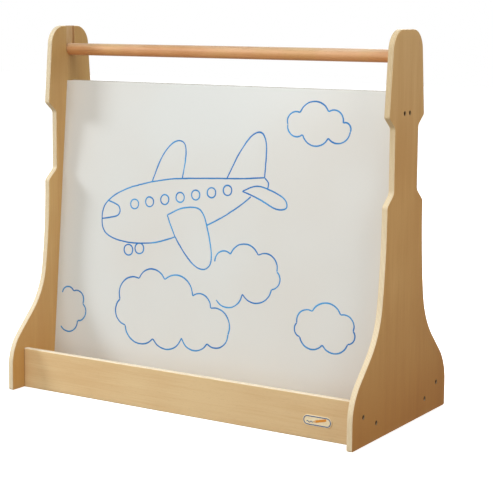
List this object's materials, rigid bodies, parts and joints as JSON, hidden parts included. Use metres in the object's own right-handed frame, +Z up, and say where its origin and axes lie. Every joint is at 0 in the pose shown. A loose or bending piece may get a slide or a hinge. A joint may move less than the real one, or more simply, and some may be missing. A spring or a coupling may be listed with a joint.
{
  "type": "double-sided easel",
  "caption": "Free-standing double-sided easel for children, with shaped plywood sides, leaning dry-wipe boards, a tray on each face and a lift-out paper rod.",
  "frame": {"origin": "centre of the footprint, on the floor", "axes": "+X along the rod from the left side panel to the right one, -Y out of the front board, +Z up"},
  "size_m": [0.8, 0.4, 0.75],
  "materials": {
    "birch_plywood": "clear satin lacquer, pale layered edges",
    "beech_rod": "lightly oiled, fine straight grain",
    "beech_pin": "raw",
    "writing_surface": "dry-wipe gloss",
    "backing_laminate": "matt balancing laminate",
    "board_core": "fibreboard with a sealed edge",
    "screw_steel": "dark passivated",
    "name_plate": "domed vinyl",
    "marker_ink": "dry-wipe ink"
  },
  "bodies": {
    "frame": {"backing_sheet_front": "backing_laminate", "backing_sheet_rear": "backing_laminate", "board_core_front": "board_core", "board_core_rear": "board_core", "locating_pin_front_left": "beech_pin", "locating_pin_front_right": "beech_pin", "locating_pin_rear_left": "beech_pin", "locating_pin_rear_right": "beech_pin", "name_plate": "name_plate", "screw_board_front_left": "screw_steel", "screw_board_front_right": "screw_steel", "screw_board_rear_left": "screw_steel", "screw_board_rear_right": "screw_steel", "screw_fence_front_left": "screw_steel", "screw_fence_front_right": "screw_steel", "screw_fence_rear_left": "screw_steel", "screw_fence_rear_right": "screw_steel", "screw_floor_front_left": "screw_steel", "screw_floor_front_right": "screw_steel", "screw_floor_rear_left": "screw_steel", "screw_floor_rear_right": "screw_steel", "side_panel_left": "birch_plywood", "side_panel_right": "birch_plywood", "tray_fence_front": "birch_plywood", "tray_fence_rear": "birch_plywood", "tray_floor": "birch_plywood", "writing_sheet_front": "writing_surface", "writing_sheet_rear": "writing_surface"},
    "rod": {"paper_rod": "beech_rod"}
  },
  "joints": [
    {"name": "rod_lift", "type": "slide", "parent": "frame", "child": "rod", "axis": [0, 0, 1], "range_m": [0, 0.07]}
  ]
}
